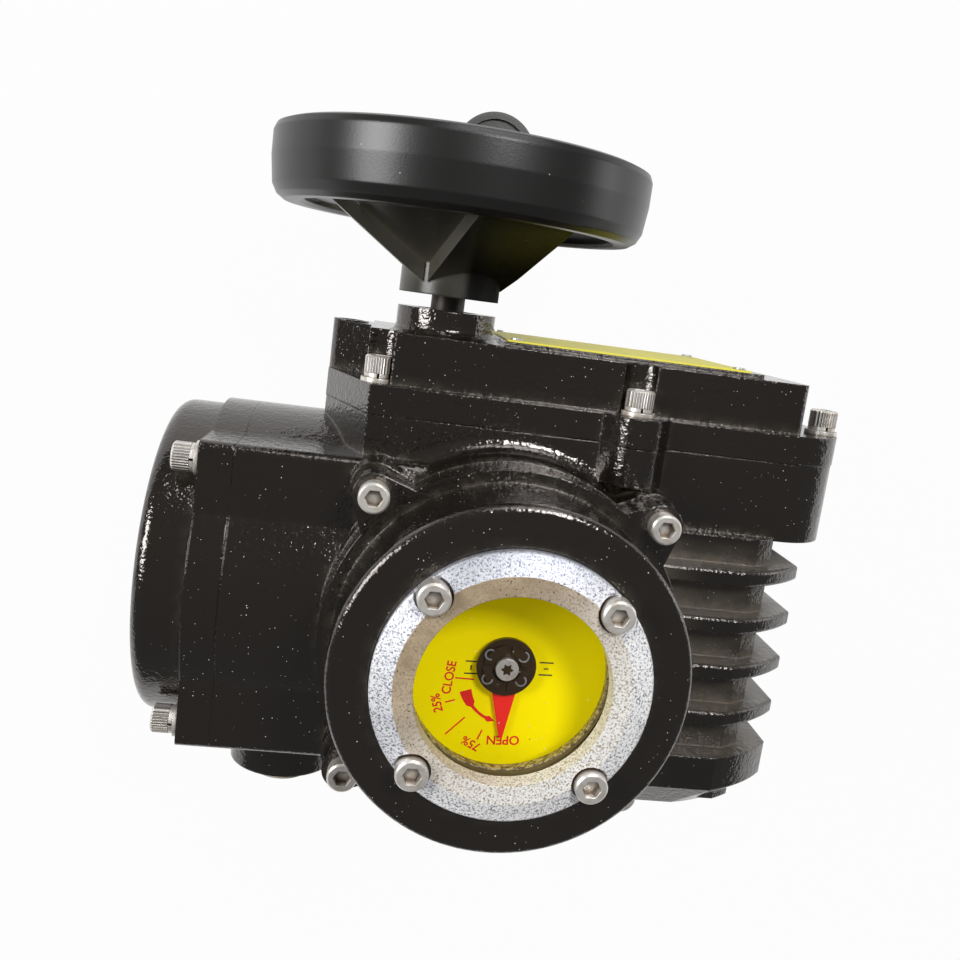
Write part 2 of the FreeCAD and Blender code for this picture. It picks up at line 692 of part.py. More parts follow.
save("motor_pinion", pinion.cut(rod_y(4.0 + seat_gap, layer_one - 2, top_one + 2, motor_x, motor_z)))

# Motor
stator = tube_y(motor_radius, 17.6, stator_bottom, stator_top, motor_x, motor_z)
for k in range(12):
    angle = math.radians(30 * k)
    slot_x = motor_x + 21.5 * math.cos(angle)
    slot_z = motor_z + 21.5 * math.sin(angle)
    stator = stator.cut(rod_y(2.7, stator_bottom - 1, stator_top + 1, slot_x, slot_z))
save("motor_stator", stator)
coils = []
for y1, y2, outer_end in ((stator_top, stator_top + coil_height, stator_top + coil_height),
                          (stator_bottom - coil_height, stator_bottom, stator_bottom - coil_height)):
    coil = tube_y(27.0, 18.4, y1, y2, motor_x, motor_z)
    coils.append(coil.makeFillet(2.0, [e for e in coil.Edges if near(e.valueAt(e.FirstParameter).y, outer_end)
                                       and near(e.valueAt(e.LastParameter).y, outer_end)]))
save("motor_coils", *coils)
rotor = rod_y(17.0, stator_bottom, stator_top, motor_x, motor_z)
for y1, y2, radius in ((motor_bottom + 1.8, stator_bottom + 1, 4.0), (stator_top - 1, top_one + 2, 4.0),
                       (stator_bottom - 10, stator_bottom + 1, 9.0), (stator_top - 1, stator_top + 10, 9.0)):
    rotor = rotor.fuse(rod_y(radius, y1, y2, motor_x, motor_z))
save("motor_rotor", rotor)
shield_top = shield_bottom + shield_thick
shield = rod_y(motor_radius, shield_bottom, shield_top, motor_x, motor_z)
shield = shield.cut(rod_y(11.0 + seat_gap, shield_bottom - 1, shield_bottom + bearing_width + 0.2, motor_x,
                          motor_z))
shield = shield.cut(rod_y(5.0, shield_bottom - 1, shield_top + 1, motor_x, motor_z))
rest_top = motor_bottom + end_shield_thick
rest = rod_y(motor_radius, motor_bottom, rest_top, motor_x, motor_z)
rest = rest.cut(rod_y(11.0 + seat_gap, motor_bottom + 1.5, rest_top + 1, motor_x, motor_z))
spacers = [tube_y(motor_radius, 27.6, stator_top + 0.1, shield_bottom - 0.1, motor_x, motor_z),
           tube_y(motor_radius, 27.6, rest_top + 0.1, stator_bottom - 0.1, motor_x, motor_z)]
save("motor_shields", shield, rest, *spacers)
save("motor_bearings",
     bearing(11.0, 4.0, shield_bottom + 0.2, shield_bottom + bearing_width, motor_x, motor_z),
     bearing(11.0, 4.0, motor_bottom + 1.8, motor_bottom + 1.6 + bearing_width, motor_x, motor_z))
save("spring_rings", carrier_ring, worm_ring,
     tube_y(motor_radius, 24.0, shield_top + 0.2, shield_top + 2.2, motor_x, motor_z))

# Gear cover
lid = box_prism(0.3, box_seam, gear_flange_top)
for z in (box_back + 0.5, box_front - 0.5):
    lid = lid.fuse(side_lobe(z, middle_lobe_radius + 0.3, box_seam, gear_flange_top))
raised = block(gear_cover_left, gear_cover_right, gear_flange_top - 1, gear_cover_top, gear_cover_back,
               gear_cover_front)
raised = rounded(raised, 4.0, lambda p: near(p.x, gear_cover_left, gear_cover_right)
                 and near(p.z, gear_cover_back, gear_cover_front))
lid = lid.fuse(raised)
lug_tongue = flanks(gear_cover_left + 14, motor_z, 20.0, lug_x, motor_z, lug_radius)
lid = lid.fuse(prism_y(lug_tongue, gear_flange_top - 1, gear_cover_top))
lid = lid.fuse(rod_y(lug_radius, box_seam, gear_cover_top + 0.5, lug_x, motor_z))
lid = lid.fuse(rod_y(boss_radius, gear_cover_top - 2, boss_top, worm_x, worm_z))
boss_foot = spin([(boss_radius - 1, 0), (boss_radius + 2.4, 0), (boss_radius + 0.8, 0.8), (boss_radius, 2.4),
                  (boss_radius - 1, 2.4)], V(worm_x, gear_cover_top, worm_z), Y, X)
lid = lid.fuse(boss_foot.common(block(gear_cover_left, gear_cover_right, gear_cover_top - 1, boss_top,
                                      motor_z, gear_cover_front)))
lid = lid.fuse(block(plate_left - 1.2, plate_right + 4.5, gear_cover_top - 1, plate_pad_top,
                     plate_z - plate_half - 1.5,
                     plate_z + plate_half + 1.5))
for x, z in gear_screws:
    lid = lid.cut(rod_y(scallop_radius, gear_flange_top, plate_pad_top + 2, x, z))
inner = block(gear_cover_left + cover_wall, gear_cover_right - cover_wall, box_seam - 1,
              gear_cover_top - cover_wall,
              gear_cover_back + cover_wall, gear_cover_front - cover_wall)
for x, z in gear_screws:
    inner = inner.cut(rod_y(scallop_radius + 4.0, box_seam - 2, gear_cover_top, x, z))
    lid = lid.cut(rod_y(screw_radius + 0.2, box_seam - 1, gear_flange_top + 1, x, z))
worm_gear_room = worm_gear_teeth * gear_module / 2 + 1.7
inner = inner.fuse(rod_y(worm_gear_room, box_seam - 1, top_three + 2, worm_x, worm_z))
tower = rod_y(13.0, gear_cover_top - 12.5, gear_cover_top, worm_x, worm_z)
lid = lid.cut(inner.cut(tower))
seal_seat = boss_top - 5.5
lid = lid.cut(rod_y(9.0 + seat_gap, gear_cover_top - 16, seal_seat, worm_x, worm_z))
lid = lid.cut(rod_y(11.0 + seat_gap, seal_seat, boss_top + 1, worm_x, worm_z))
lid = lid.cut(rod_y(4.6, gear_cover_top - 6, gear_cover_top + 1, lug_x, motor_z))
lid = lid.cut(rod_y(2.6, box_seam - 1, gear_cover_top, lug_x, motor_z))
save("gear_cover", lid)
save("shaft_bush", tube_y(9.0, shaft_radius + run_gap, gear_cover_top - 12, seal_seat - 0.2, worm_x, worm_z))
save("shaft_seal", tube_y(11.0, shaft_radius + run_gap, seal_seat + 0.2, boss_top - 0.3, worm_x, worm_z))
lug_head = rod_y(4.2, gear_cover_top - 5.9, gear_cover_top - 2.5, lug_x, motor_z)
save("lug_screw", lug_head.fuse(rod_y(2.5, box_seam + 0.5, gear_cover_top - 5, lug_x, motor_z)))
washer_thick = 1.6
plain = [washer(V(x, gear_flange_top, z), Y, 5.9, washer_thick) for x, z in gear_screws]
sprung = []
for x, z in gear_screws:
    ring = washer(V(x, gear_flange_top + washer_thick, z), Y, 4.9, washer_thick)
    sprung.append(ring.cut(block(x - 0.4, x + 0.4, gear_flange_top, gear_flange_top + 5, z, z + 9)))
save("gear_cover_screws", *[socket_screw(V(x, gear_flange_top + 2 * washer_thick, z), Y,
                                         gear_flange_thick + 2 * washer_thick + screw_grip - 1)
                            for x, z in gear_screws])
label = block(plate_left, plate_right, plate_pad_top, plate_pad_top + 0.6, plate_z - plate_half,
              plate_z + plate_half)
label_rivets = []
for x in (plate_left + 3.4, plate_right - 3.4):
    for z in (plate_z - plate_half + 3.5, plate_z + plate_half - 3.5):
        label_rivets.append((x, z))
        label = label.cut(rod_y(1.3, plate_pad_top - 1, plate_pad_top + 2, x, z))
save("nameplate", label)
save("nameplate_rivets", *[rod_y(2.2, plate_pad_top + 0.62, plate_pad_top + 1.3, x, z).fuse(
    rod_y(1.25, plate_pad_top + 0.1, plate_pad_top + 1, x, z)) for x, z in label_rivets])

# End cover of the electrical compartment
flange_end = barrel_seam - cap_flange
cap = barrel_section(flange_end, barrel_seam)
bowl = rounded(rod_x(cap_radius, cap_end, barrel_seam, 0, barrel_height), 5.0, lambda p: near(p.x, cap_end))
cap = cap.fuse(bowl).cut(rod_x(barrel_bore, cap_end + cap_wall, barrel_seam + 1, 0, barrel_height))
for y, z in corners(cap_screw_place):
    cap = cap.cut(rod_x(screw_radius + 0.2, cap_end, barrel_seam + 1, y, z + barrel_height))
cap_seal = barrel_bore + 3.0
groove = rod_x(cap_seal + 1.2, barrel_seam - 1.6, barrel_seam + 1, 0, barrel_height)
groove = groove.cut(rod_x(cap_seal - 1.2, barrel_seam - 2, barrel_seam + 2, 0, barrel_height))
save("end_cover", cap.cut(groove))
save("end_cover_seal", Part.makeTorus(cap_seal, 0.78, V(barrel_seam - 0.8, 0, barrel_height), X))
spots = [(y, z + barrel_height) for y, z in corners(cap_screw_place)]
save("flat_washers", *plain, *[washer(V(flange_end, y, z), -X, 5.9, washer_thick) for y, z in spots])
for y, z in spots:
    ring = washer(V(flange_end - washer_thick, y, z), -X, 4.9, washer_thick)
    sprung.append(ring.cut(block(flange_end - 9, flange_end + 1, y - 0.4, y + 0.4, z, z + 9)))
save("spring_washers", *sprung)
save("end_cover_screws", *[socket_screw(V(flange_end - 2 * washer_thick, y, z), -X,
                                        cap_flange + 2 * washer_thick + screw_grip) for y, z in spots])
plug = rod_y(plug_radius - seat_gap, entry_bottom - 1, entry_bottom + entry_length + 1, entry_x, entry_z)
plug = plug.fuse(rod_y(plug_radius + 1.8, entry_bottom - plug_head, entry_bottom - 0.02, entry_x, entry_z))
save("entry_plug", rounded(plug, 1.5, lambda p: near(p.y, entry_bottom - plug_head)))

# Dial, pointer and spindle
save("dial_plate", tube_z(dial_radius, 4.0, dial_height, dial_height + dial_thick))
posts = []
for x, y in post_spots:
    post = rod_z(post_radius, dial_floor - 5, dial_height, x, y)
    posts.append(post.fuse(rod_z(post_radius + 1.5, dial_floor, dial_height - 4, x, y)))
save("dial_posts", *posts)
pointer = prism_z([(-4.6, -5), (4.6, -5), (0.5, -pointer_length), (-0.5, -pointer_length)], pointer_bottom,
                  pointer_top)
pointer = pointer.fuse(rod_z(7.0, pointer_bottom, pointer_top))
pointer = pointer.cut(rod_z(3.0 + seat_gap, pointer_bottom - 1, pointer_top + 1))
pointer.rotate(V(0, 0, 0), Z, pointer_angle)
save("pointer", pointer)
hub = rod_z(hub_disc_radius, pointer_top, hub_disc_top)
for k in range(4):
    wedge = tube_z(7.4, 4.6, pointer_top + 0.5, hub_disc_top + 0.8)
    wedge = wedge.common(block(0.9, 12, 0.9, 12, pointer_top, hub_disc_top + 2))
    wedge.rotate(V(0, 0, 0), Z, 90 * k)
    hub = hub.fuse(wedge)
save("pointer_hub", hub.cut(rod_z(1.7, pointer_top - 1, hub_disc_top + 2)))
hub_head = rod_z(3.6, hub_disc_top + 0.02, hub_disc_top + 2.2)
save("hub_screw", hub_head.fuse(rod_z(1.6, pointer_top + 0.1, hub_disc_top + 1)))
cam_thick = 5.0
cam_heights = (dial_floor + 6, dial_floor + 15)
cams = []
for turn, z in zip((40, -50), cam_heights):
    disc = tube_z(12.0, 6.0 + seat_gap, z, z + cam_thick)
    nose = block(9, 15, -4, 4, z, z + cam_thick)
    nose.rotate(V(0, 0, 0), Z, turn)
    cams.append(disc.fuse(nose))
save("cam_open", cams[0])
save("cam_close", cams[1])
switches = []
for z in cam_heights:
    body = block(-10, 10, 19, 29, z - 0.5, z + cam_thick + 0.5)
    lever = block(-9, 9, 17.4, 18, z + 1, z + 4).fuse(block(-9, -7.5, 17.4, 19.5, z + 1, z + 4))
    switches.append(body.fuse(lever))
save("limit_switches", *switches)
stand = block(-16, 16, 18, 31, dial_floor, dial_floor + 2)
save("switch_bracket", stand.fuse(block(-14, 14, 29.2, 31, dial_floor, dial_floor + 24)))

# Inside the electrical compartment
tray = block(barrel_end - 6, barrel_end - 4, -34, 34, barrel_height - 30, barrel_height + 30)
for y, z in corners(26):
    tray = tray.fuse(rod_x(4.0, barrel_end - 5, barrel_end, y, z + barrel_height))
save("terminal_tray", tray)
strip_height = barrel_height + 14
strip = block(barrel_end - 20, barrel_end - 6, -30, 30, strip_height - 7, strip_height + 7)
terminals = []
for k in range(9):
    y = -30 + 60.0 / 9 * (k + 0.5)
    strip = strip.cut(rod_x(2.2, barrel_end - 25, barrel_end - 15, y, strip_height))
    terminals.append(rod_x(2.0, barrel_end - 18, barrel_end - 15.02, y, strip_height))
save("terminal_block", strip)
save("terminal_screws", *terminals)
capacitor = rod_y(14.0, -30, 30, barrel_end - 20.2, barrel_height - 19)
save("capacitor", rounded(capacitor, 2.0, lambda p: near(abs(p.y), 30)))

# Handwheel: a rim, a hub, a shallow cone between them and three wide spokes
middle = V(worm_x, 0, worm_z)
low_lip = rim_bottom + 1.0
rim = spin([(rim_radius - 8.5, rim_bottom + 5.6), (rim_radius - 11.5, rim_bottom + 3.1),
            (rim_radius - 12, low_lip),
            (rim_radius - 10, rim_bottom), (rim_radius - 5, rim_bottom), (rim_radius - 2.6, rim_bottom + 1.6),
            (rim_radius - 1, rim_bottom + 4.6), (rim_radius, rim_bottom + 13.6), (rim_radius, rim_top - 2.8),
            (rim_radius - 0.8, rim_top - 0.8), (rim_radius - 2.8, rim_top), (rim_radius - 5.5, rim_top),
            (rim_radius - 7.2, rim_top - 1.6)], middle, Y, X)
cone_low = hub_bottom + 10.7
cone_high = rim_bottom + 1.2
dish = spin([(hub_radius - 2, cone_low), (hub_radius, cone_low), (dish_radius, cone_high),
             (dish_radius, cone_high + dish_thick), (hub_radius, cone_low + dish_thick + 1),
             (hub_radius - 2, cone_low + dish_thick + 1)], middle, Y, X)
wheel = rim.fuse(rod_y(hub_radius, hub_bottom, hub_top, worm_x, worm_z)).fuse(dish)
spoke_low = cone_low - 1.6
spoke_bend = rim_radius - 21.3
spoke_end = rim_radius - 9.3
spoke_rows = ((hub_radius - 8, hub_radius - 2.5, spoke_low - 5, hub_top),
              (hub_radius, hub_radius - 1.3, spoke_low, hub_top + 1),
              (spoke_bend, hub_radius + 1.3, rim_bottom + 2.4, rim_bottom + 6.6),
              (spoke_end, hub_radius + 2.6, rim_bottom + 2.8, rim_bottom + 6.6))
for angle in spoke_angles:
    direction = V(math.cos(math.radians(angle)), 0, math.sin(math.radians(angle)))
    aside = V(-direction.z, 0, direction.x)
    ends = []
    for reach, wide, low, high in spoke_rows:
        spot = middle + direction * reach
        points = [spot + aside * side * wide + Y * height
                  for side, height in ((-1, low), (1, low), (1, high), (-1, high))]
        ends.append(Part.makePolygon(points + points[:1]))
    for first, second in zip(ends[:-1], ends[1:]):
        wheel = wheel.fuse(Part.makeLoft([first, second], True, True))
ear_bottom = rim_bottom + 3.6
for side in (-1, 1):
    edge = grip_x + side * 7.25
    ear = block(edge - 1.75, edge + 1.75, ear_bottom, grip_y + 5, pivot_z - 6, pivot_z + 6)
    wheel = wheel.fuse(rounded(ear, 4.9, lambda p: near(p.y, grip_y + 5) and near(abs(p.z - pivot_z), 6)))
wheel = wheel.fuse(block(grip_x - 9, grip_x + 9, ear_bottom, ear_bottom + 7, pivot_z - 10, pivot_z + 6))
wheel = wheel.cut(rod_y(shaft_radius + seat_gap, hub_bottom - 1, hub_bottom + 9.7, worm_x, worm_z))
wheel = wheel.cut(rod_y(2.7, hub_bottom - 1, hub_top + 3, worm_x, worm_z))
wheel = wheel.cut(rod_y(8.0, hub_top - 3, hub_top + 4, worm_x, worm_z))
wheel = wheel.cut(rod_x(2.5 + seat_gap, grip_x - 12, grip_x + 12, grip_y, pivot_z))
save("handwheel", wheel)
bolt = rod_y(4.6, hub_top - 2.98, hub_top + 1, worm_x, worm_z)
save("wheel_screw", bolt.fuse(rod_y(2.05, hub_bottom, hub_top - 2, worm_x, worm_z)))
save("handle_pin", rod_x(2.5, grip_x - 9.6, grip_x + 9.6, grip_y, pivot_z))
arm = rod_x(5.0, grip_x - 5.2, grip_x + 5.2, grip_y, pivot_z)
arm = arm.fuse(block(grip_x - 5.2, grip_x + 5.2, grip_y - 4.9, grip_y + 4.9, pivot_z, pivot_z + 8))
arm = arm.fuse(rod_z(4.0, pivot_z + 7, grip_end - 9, grip_x, grip_y))
arm = arm.cut(rod_x(2.5 + run_gap, grip_x - 12, grip_x + 12, grip_y, pivot_z))
save("handle_arm", arm)
grip_start = pivot_z + 9
profile = [(4.0 + run_gap, grip_start), (8.5, grip_start), (9.5, grip_start + 2), (11.5, grip_end - 25),
           (grip_radius, grip_end - 6), (grip_radius, grip_end - 1.5), (grip_radius - 1, grip_end),
           (grip_radius - 2.6, grip_end), (grip_radius - 2.6, grip_end - 1.2), (0, grip_end - 1.2),
           (0, grip_end - 6), (4.0 + run_gap, grip_end - 6)]
save("handle_grip", spin(profile, V(grip_x, grip_y, 0), Z, X))
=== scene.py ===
import math

import bpy
import numpy as np
from mathutils import Matrix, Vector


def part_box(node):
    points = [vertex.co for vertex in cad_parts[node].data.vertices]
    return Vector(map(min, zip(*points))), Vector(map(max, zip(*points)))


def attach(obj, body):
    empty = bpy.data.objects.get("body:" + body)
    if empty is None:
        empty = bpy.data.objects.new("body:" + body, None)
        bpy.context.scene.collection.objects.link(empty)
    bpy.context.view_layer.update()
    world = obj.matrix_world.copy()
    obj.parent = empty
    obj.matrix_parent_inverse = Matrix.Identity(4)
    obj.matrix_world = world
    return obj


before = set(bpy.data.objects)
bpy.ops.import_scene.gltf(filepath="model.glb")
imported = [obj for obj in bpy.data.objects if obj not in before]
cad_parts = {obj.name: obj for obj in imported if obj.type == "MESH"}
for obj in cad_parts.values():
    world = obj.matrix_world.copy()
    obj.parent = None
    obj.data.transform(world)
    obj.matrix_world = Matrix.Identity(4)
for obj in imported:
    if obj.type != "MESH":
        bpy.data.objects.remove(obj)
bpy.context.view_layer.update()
MM = 0.001

# Places and sizes on the actuator, in millimetres
dial_face = 153.5
print_height = 0.05
mark_height = 0.04
tick_width = 0.5
bar_width = 0.45
dimple_radius = 1.6
dimple_width = 0.55
window_radius = 36.5
window_bottom = 150.0
ring_slope_radius = 35.6
fins_left = 54.0
fins_top = 38.0
dish_left = -24.0
dish_top = 139.0
below_all = -100.0
above_all = 300.0
knurl_step = 0.95

# Sizes that only shade the surface, in metres
casting_edge = 0.0009
screw_edge = 0.0004
machined_edge = 0.0003
fine_grain = 0.00002

# Camera of the photograph: place, lens and sensor in millimetres, turn in radians
camera_place = (-47.54, 112.30, 440.41)
camera_turn = (-0.190621, -0.103972, 0.134965)
camera_lens = 36.29
camera_sensor = 36.0
camera_shift = (-0.0196, -0.0099)

# Studio: strength of the sky as light and as seen, floor in metres, where the lamps point and their upright
sky_light = 0.165
sky_seen = 0.99
floor_reach = 4.0
floor_white = 0.97
lamp_aim = np.array([0.0, 0.0, 0.08])
lamp_up = (0.0, 1.0, 0.001)


class Signal:
    """One shader socket; arithmetic on it adds Math nodes."""

    def __init__(self, finish, socket):
        self.finish = finish
        self.socket = socket

    def math(self, operation, *others):
        """The result of one Math node on this signal and others."""
        return self.finish.add("ShaderNodeMath", {"operation": operation}, [self, *others])

    def __add__(self, other):
        return self.math("ADD", other)

    __radd__ = __add__

    def __mul__(self, other):
        return self.math("MULTIPLY", other)

    __rmul__ = __mul__

    def __sub__(self, other):
        return self.math("SUBTRACT", other)

    def __rsub__(self, other):
        return self.finish.add("ShaderNodeMath", {"operation": "SUBTRACT"}, [other, self])

    def __pow__(self, other):
        return self.math("POWER", other)

    def above(self, level, soft):
        """0 below the level, 1 above it, with a soft step between."""
        return self.finish.add("ShaderNodeMapRange", {"interpolation_type": "SMOOTHSTEP"},
                               {"Value": self, "From Min": level - soft, "From Max": level + soft})


class Finish:
    """A material whose nodes are added by one method."""

    def __init__(self, name, **constants):
        self.material = bpy.data.materials.new(name)
        self.material.use_nodes = True
        self.tree = self.material.node_tree
        self.shader = self.tree.nodes["Principled BSDF"]
        for socket, value in constants.items():
            self.shader.inputs[socket.replace("_", " ")].default_value = value
        self.place = self.add("ShaderNodeTexCoord", {}, {}, "Object")

    def add(self, kind, settings, inputs, out=0):
        """Any node: its settings first, then its sockets' values or links; gives one output."""
        node = self.tree.nodes.new(kind)
        for key, value in settings.items():
            setattr(node, key, value)
        pairs = inputs.items() if isinstance(inputs, dict) else enumerate(inputs)
        for key, value in pairs:
            if isinstance(value, Signal):
                self.tree.links.new(value.socket, node.inputs[key])
            else:
                node.inputs[key].default_value = value
        return Signal(self, node.outputs[out])

    def axes(self):
        """The object's own three coordinates, in metres."""
        return [self.add("ShaderNodeSeparateXYZ", {}, [self.place], k) for k in range(3)]

    def noise(self, scale, detail, roughness=0.5):
        """Cloudy pattern about 0.5, with this many cells to the metre."""
        inputs = {"Vector": self.place, "Scale": scale, "Detail": detail, "Roughness": roughness}
        return self.add("ShaderNodeTexNoise", {}, inputs, "Fac")

    def blend(self, share, low, high):
        """Colour between two colours, by the Mix node's colour sockets."""
        return self.add("ShaderNodeMix", {"data_type": "RGBA"}, {0: share, 6: low, 7: high}, 2)

    def crevice(self, reach, power):
        """1 deep in a corner, 0 on open faces; it looks as far as the reach, in metres."""
        open_share = self.add("ShaderNodeAmbientOcclusion", {"samples": 6}, {"Distance": reach}, "AO")
        return (1.0 - open_share) ** power

    def specks(self, scale, size, share):
        """Small round dots in a random share of the cells."""
        away = self.add("ShaderNodeTexVoronoi", {}, {"Vector": self.place, "Scale": scale}, "Distance")
        cell = Signal(self, away.socket.node.outputs["Color"])
        chosen = self.add("ShaderNodeSeparateColor", {}, [cell], 0)
        return (1.0 - away.above(size, size * 0.3)) * chosen.above(1.0 - share, 0.01)

    def inside_radius(self, radius, height):
        """1 closer to the output axis than a radius and above a height, in millimetres."""
        x, y, z = self.axes()
        reach = (x * x + y * y) ** 0.5
        return (1.0 - reach.above(radius * MM, 0.0001)) * z.above(height * MM, 0.0005)

    def beyond(self, x_start, y_end):
        """1 right of one place and below another, in millimetres."""
        x, y = self.axes()[:2]
        return x.above(x_start * MM, 0.002) * (1.0 - y.above(y_end * MM, 0.002))

    def outside_radius(self, radius):
        """1 farther from the output axis than a radius, in millimetres."""
        return 1.0 - self.inside_radius(radius, below_all)

    def soft_edge(self, radius):
        """Normal that turns smoothly round an edge."""
        return self.add("ShaderNodeBevel", {"samples": 4}, {"Radius": radius}, "Normal")

    def bump(self, height, distance, strength, normal=None):
        """Normal that leans with a height, as deep as the distance in metres."""
        inputs = {"Height": height, "Distance": distance, "Strength": strength}
        if normal is not None:
            inputs["Normal"] = normal
        return self.add("ShaderNodeBump", {}, inputs, "Normal")

    def feed(self, **links):
        """Links signals to the shader's sockets and gives the material."""
        for socket, value in links.items():
            self.tree.links.new(value.socket, self.shader.inputs[socket.replace("_", " ")])
        return self.material


def rgb(red, green, blue):
    """A solid colour for a shader socket."""
    return (red, green, blue, 1.0)


def cast_paint(name, painted_dial_reflection=False):
    """Glossy black paint over a rough casting: orange peel, sparse specks and brown dust in the corners.

    With the painted dial reflection, the wall round the dial is dark brown and gritty, with gold specks that
    are a painted reflection of the yellow dial.
    """
    f = Finish(name, Specular_IOR_Level=1.0, Specular_Tint=rgb(1.0, 0.93, 0.89))
    peel = f.noise(950.0, 1.0) + f.noise(420.0, 1.0) * 1.4
    patches = f.noise(22.0, 3.0).above(0.5, 0.06)
    white = f.specks(620.0, 0.11, 0.2) * patches + f.specks(900.0, 0.11, 0.07)
    grime = f.noise(240.0, 4.0).above(0.5, 0.12)
    dust = f.crevice(0.0045, 1.5) * (grime * 0.8 + 0.2)
    fins = f.beyond(fins_left, fins_top) * f.crevice(0.016, 1.2) * (f.noise(60.0, 3.0) * 1.2 + 0.4)
    haze = f.noise(30.0, 3.0) * 0.008
    colour = f.blend(dust * 0.5 + fins * 0.7 + haze, rgb(0.0062, 0.0050, 0.0040), rgb(0.17, 0.145, 0.105))
    colour = f.blend(white * 0.8, colour, rgb(0.7, 0.7, 0.66))
    rough = f.noise(60.0, 2.0) * 0.06 + 0.08 + dust * 0.5 + fins * 0.5 + white * 0.4
    if painted_dial_reflection:
        # Painted reflection: gold specks on the dark wall round the dial stand in for the yellow dial
        # mirrored in it
        inside = f.inside_radius(window_radius, window_bottom)
        gold_glint_mask = f.noise(900.0, 4.0, 0.75).above(0.52, 0.1)
        colour = f.blend(inside, colour, f.blend(gold_glint_mask, rgb(0.05, 0.035, 0.012), rgb(0.50, 0.40, 0.16)))
        rough = rough + inside * 0.2
    normal = f.bump(peel, 0.00014, 1.0, f.soft_edge(casting_edge))
    return f.feed(Base_Color=colour, Roughness=rough, Normal=normal)


def wheel_paint():
    """Satin black powder coat with a few pale specks."""
    f = Finish("satin_black_coat", Specular_IOR_Level=0.5)
    grain = f.noise(1500.0, 2.0)
    white = f.specks(420.0, 0.09, 0.04)
    hollow = f.crevice(0.04, 0.7)
    # Painted shade: the right of the dish is made dark and dull by a near-black metallic finish; painted
    # bounce light makes its left greyer
    painted_shade = hollow.above(0.22, 0.15) * f.beyond(dish_left, dish_top)
    painted_bounce_light = hollow * (1.0 - f.beyond(dish_left, above_all)) * 0.9
    dust = f.crevice(0.008, 1.5)
    # Brown dust in the corners, plus the painted bounce light on the left of the dish
    colour = f.blend(dust * 0.3 + painted_bounce_light, rgb(0.0085, 0.0080, 0.0076), rgb(0.14, 0.13, 0.09))
    colour = f.blend(white * 0.6, colour, rgb(0.6, 0.6, 0.56))
    rough = f.noise(40.0, 2.0) * 0.05 + 0.29 + painted_shade * 0.6
    normal = f.bump(grain, fine_grain, 1.0, f.soft_edge(casting_edge))
    return f.feed(Base_Color=colour, Roughness=rough, Metallic=painted_shade * 0.97, Normal=normal)


def cast_ring():
    """Bare cast ring: a bright bluish slope outside and a tan, pitted flat inside, with painted light and
    shade by place.
    """
    f = Finish("bare_cast_ring")
    sand = f.noise(1500.0, 3.0, 0.7)
    pits = f.specks(1100.0, 0.28, 0.14)
    tone = f.noise(60.0, 4.0, 0.7).above(0.5, 0.15)
    slope = f.outside_radius(ring_slope_radius)
    x, y = f.axes()[:2]
    # Painted highlight towards the lower right, where the lamps light it, and painted shade on the slope at
    # the top
    low = (x - y).above(0.0, 0.04)
    high = y.above(0.03, 0.025)
    flat = f.blend(tone, rgb(0.29, 0.22, 0.14), rgb(0.42, 0.33, 0.22))
    flat = f.blend(low, flat, rgb(0.78, 0.77, 0.74))
    bright = f.blend(tone, rgb(0.78, 0.79, 0.83), rgb(0.94, 0.94, 0.96))
    bright = f.blend(high * 0.9, bright, rgb(0.24, 0.25, 0.29))
    bright = f.blend(low, bright, rgb(0.92, 0.91, 0.90))
    colour = f.blend(slope, flat, bright)
    dark = f.blend(slope, rgb(0.25, 0.19, 0.13), rgb(0.13, 0.14, 0.20))
    colour = f.blend(sand.above(0.44, 0.09), dark, colour)
    colour = f.blend(pits * 0.8, colour, rgb(0.05, 0.04, 0.035))
    normal = f.bump(sand - pits * 0.3, 0.0001, 1.0, f.soft_edge(screw_edge))
    return f.feed(Base_Color=colour, Metallic=slope * (1.0 - low) * 0.4 + 0.1,
                  Roughness=sand * 0.25 + 0.3, Normal=normal)


def screw_steel(name, across=None, along=None, end=None):
    """Bright screw steel, with painted shade in dark brown down in the key sockets.

    Knurled heads have ridges at even steps across one axis. Along the screw they stop short of its end.
    """
    f = Finish(name)
    height = f.noise(2200.0, 2.0) * 0.1
    stain = f.noise(300.0, 3.0)
    # Painted shade: the key sockets turn dark brown and less metallic
    painted_shade = f.crevice(0.003, 1.0).above(0.42, 0.2)
    colour = f.blend(stain.above(0.55, 0.15), rgb(0.78, 0.75, 0.71), rgb(0.62, 0.57, 0.50))
    colour = f.blend(painted_shade, colour, rgb(0.10, 0.055, 0.02))
    if across is not None:
        place = f.axes()
        ridge = (place[across] * (2.0 * math.pi / (knurl_step * MM))).math("SINE")
        from_end = (place[along] - end).math("ABSOLUTE")
        side = from_end.above(0.0006, 0.0002)
        height = height + ridge * side
        # Painted shade darkens the grooves between the knurl ridges
        colour = f.blend((0.5 - ridge * 0.5) * side * 0.55, colour, rgb(0.12, 0.10, 0.085))
    normal = f.bump(height, 0.00022, 0.9, f.soft_edge(screw_edge))
    return f.feed(Base_Color=colour, Metallic=0.75 - painted_shade * 0.4, Roughness=stain * 0.1 + 0.34, Normal=normal)


def bare_metal(name, colour, roughness):
    """Machined metal with a fine grain and slight stains."""
    f = Finish(name, Metallic=1.0)
    grain = f.noise(1800.0, 2.0)
    stain = f.noise(160.0, 3.0)
    dark = tuple(c * 0.62 for c in colour)
    mixed = f.blend(stain.above(0.55, 0.15), rgb(*colour), rgb(*dark))
    normal = f.bump(grain, fine_grain, 0.4, f.soft_edge(machined_edge))
    return f.feed(Base_Color=mixed, Roughness=stain * 0.15 + roughness, Normal=normal)


